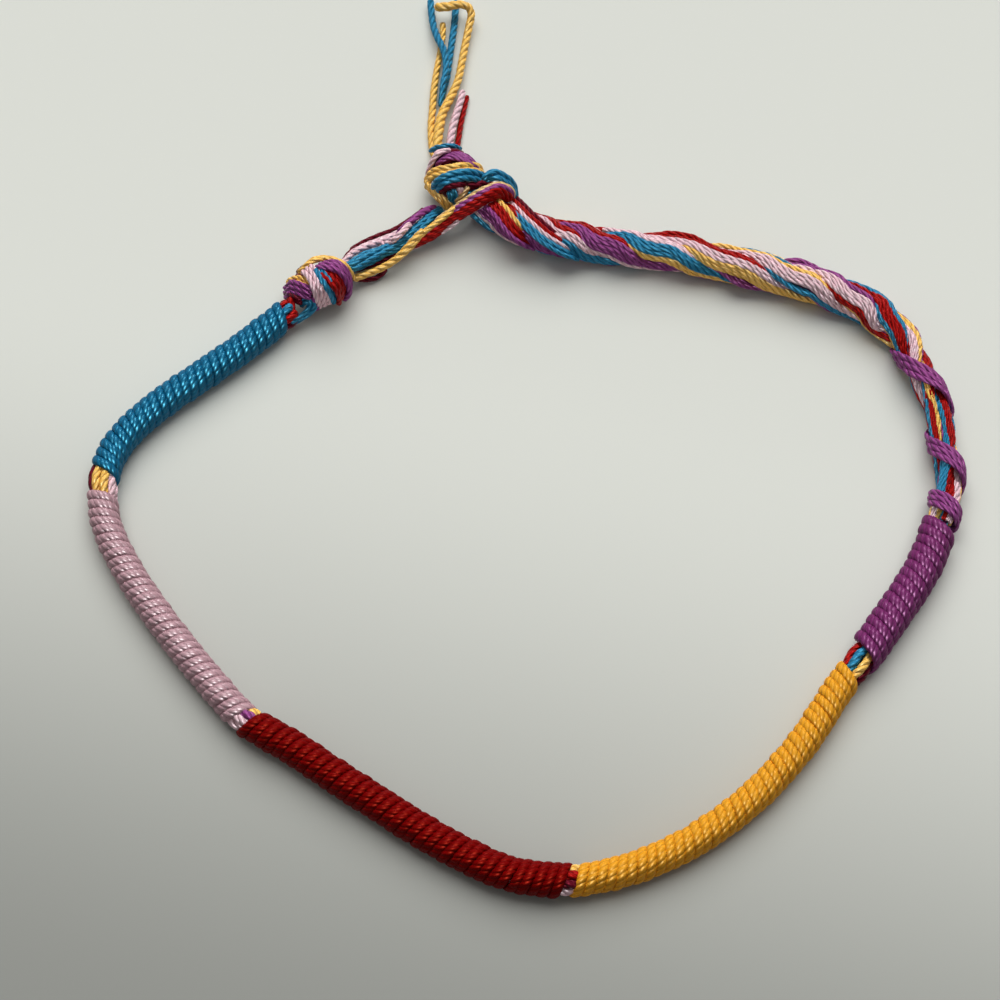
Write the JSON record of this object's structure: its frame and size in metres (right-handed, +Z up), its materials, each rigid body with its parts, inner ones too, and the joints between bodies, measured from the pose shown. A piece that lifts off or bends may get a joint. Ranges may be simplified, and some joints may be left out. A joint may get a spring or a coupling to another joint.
{
  "type": "friendship bracelet",
  "caption": "Bracelet of twisted cotton threads lying in a loop: five wound wraps in different colours, a three-strand rope, two knots and a short tail of free ends.",
  "frame": {"origin": "middle of the bracelet's box, on the surface it lies on", "axes": "+Y from the loop towards the free ends, +Z up from the surface"},
  "size_m": [0.07, 0.0814, 0.0045],
  "materials": {
    "teal_cotton": "satin",
    "pink_cotton": "satin",
    "red_cotton": "satin",
    "yellow_cotton": "satin",
    "purple_cotton": "satin",
    "mixed_cotton": "satin"
  },
  "bodies": {
    "root": {"end_knot": "mixed_cotton", "core": "mixed_cotton", "wrap_teal": "teal_cotton", "wrap_pink": "pink_cotton", "wrap_red": "red_cotton", "wrap_yellow": "yellow_cotton", "wrap_purple": "purple_cotton", "open_turns": "purple_cotton", "rope_strand_a": "mixed_cotton", "rope_strand_b": "mixed_cotton", "rope_strand_c": "mixed_cotton", "tie_knot": "mixed_cotton", "short_teal": "teal_cotton", "short_arch": "mixed_cotton", "short_yellow": "yellow_cotton", "short_pink": "pink_cotton", "short_maroon": "red_cotton", "tail_yellow_right": "yellow_cotton", "tail_yellow_left": "yellow_cotton", "tail_teal_left": "teal_cotton", "tail_teal_right": "teal_cotton", "tail_pink": "pink_cotton", "tail_red": "red_cotton"}
  },
  "joints": []
}
